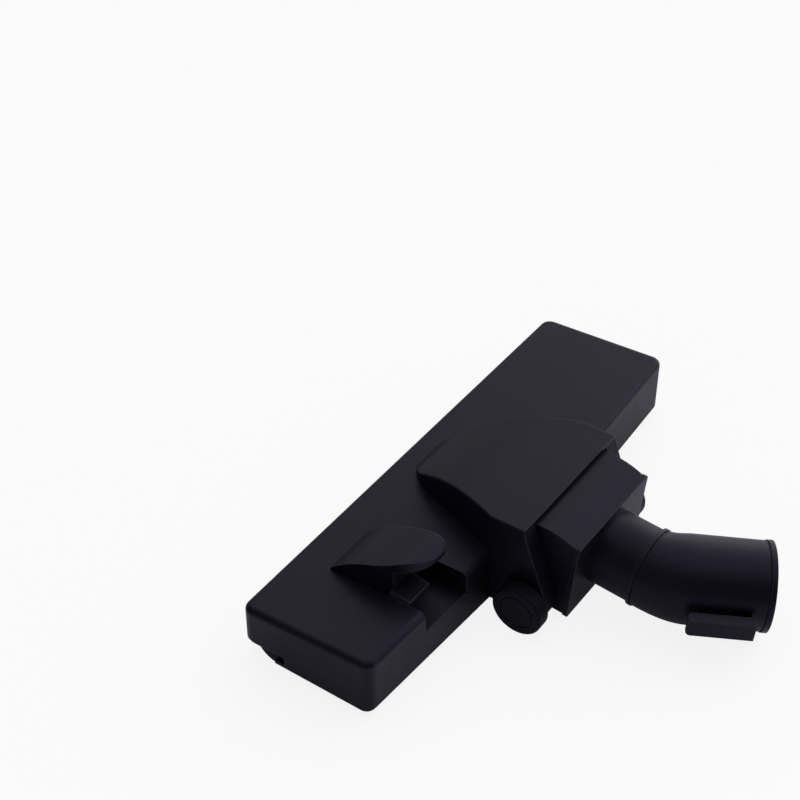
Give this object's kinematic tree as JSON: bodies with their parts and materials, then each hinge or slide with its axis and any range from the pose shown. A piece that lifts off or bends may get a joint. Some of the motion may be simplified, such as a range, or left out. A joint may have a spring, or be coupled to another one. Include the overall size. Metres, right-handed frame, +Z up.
{
  "type": "combination vacuum nozzle",
  "caption": "Long low vacuum floor nozzle with a foot pedal that lowers brush strips, rear wheels, a tilting knuckle and a swivelling elbow with a tube socket and parking hook.",
  "frame": {"origin": "on the sole's rest plane, at the middle of the head's length and depth", "axes": "+X along the head's length, +Y forward, away from the neck, +Z up"},
  "size_m": [0.26, 0.1951, 0.055],
  "materials": {
    "shell_plastic": "fine moulded grain, satin black",
    "base_plastic": "satin black",
    "knuckle_plastic": "satin black",
    "neck_plastic": "fine moulded grain, satin black",
    "pedal_plastic": "satin black",
    "wheel_plastic": "satin black",
    "frame_plastic": "satin black",
    "bristle": "nylon bristles",
    "lint_pile": "short red pile",
    "pin_steel": "drawn steel",
    "screw_steel": "zinc plated",
    "spring_steel": "blued spring steel",
    "seal_rubber": "soft rubber"
  },
  "bodies": {
    "head": {"upper_shell": "shell_plastic", "base_plate": "base_plastic", "housing_screws": "screw_steel", "lint_strip_left": "lint_pile", "lint_strip_right": "lint_pile", "pivot_pin_left": "pin_steel", "pivot_pin_right": "pin_steel", "pedal_pin": "pin_steel", "detent_spring": "spring_steel"},
    "wheel_left": {"wheel_left": "wheel_plastic"},
    "wheel_right": {"wheel_right": "wheel_plastic"},
    "knuckle": {"knuckle_drum": "knuckle_plastic", "spigot_plate": "knuckle_plastic"},
    "neck": {"neck_elbow": "neck_plastic", "swivel_clip": "spring_steel", "swivel_seal": "seal_rubber"},
    "pedal": {"pedal": "pedal_plastic"},
    "brush": {"brush_frame": "frame_plastic", "bristles_front": "bristle", "bristles_rear": "bristle", "link_pin": "pin_steel"}
  },
  "joints": [
    {"name": "knuckle_tilt", "type": "hinge", "parent": "head", "child": "knuckle", "pos_m": [0, -0.0559, 0.013], "axis": [-1, 0, 0], "range_deg": [0, 25]},
    {"name": "neck_swivel", "type": "hinge", "parent": "knuckle", "child": "neck", "pos_m": [0, -0.05726, 0.02849], "axis": [0, -0.9962, -0.0872], "continuous": true},
    {"name": "wheel_left_spin", "type": "hinge", "parent": "head", "child": "wheel_left", "pos_m": [0, -0.0559, 0.013], "axis": [1, 0, 0], "continuous": true},
    {"name": "wheel_right_spin", "type": "hinge", "parent": "head", "child": "wheel_right", "pos_m": [0, -0.0559, 0.013], "axis": [1, 0, 0], "continuous": true},
    {"name": "pedal_rock", "type": "hinge", "parent": "head", "child": "pedal", "pos_m": [-0.0745, 0.008, 0.027], "axis": [1, 0, 0], "range_deg": [0, 14]},
    {"name": "brush_drop", "type": "slide", "parent": "head", "child": "brush", "axis": [0, 0, 1], "range_m": [-0.00391, 0]}
  ],
  "couplings": [
    {"joint": "pedal_rock", "follows": "brush_drop", "rad_per_m": -62.191}
  ]
}
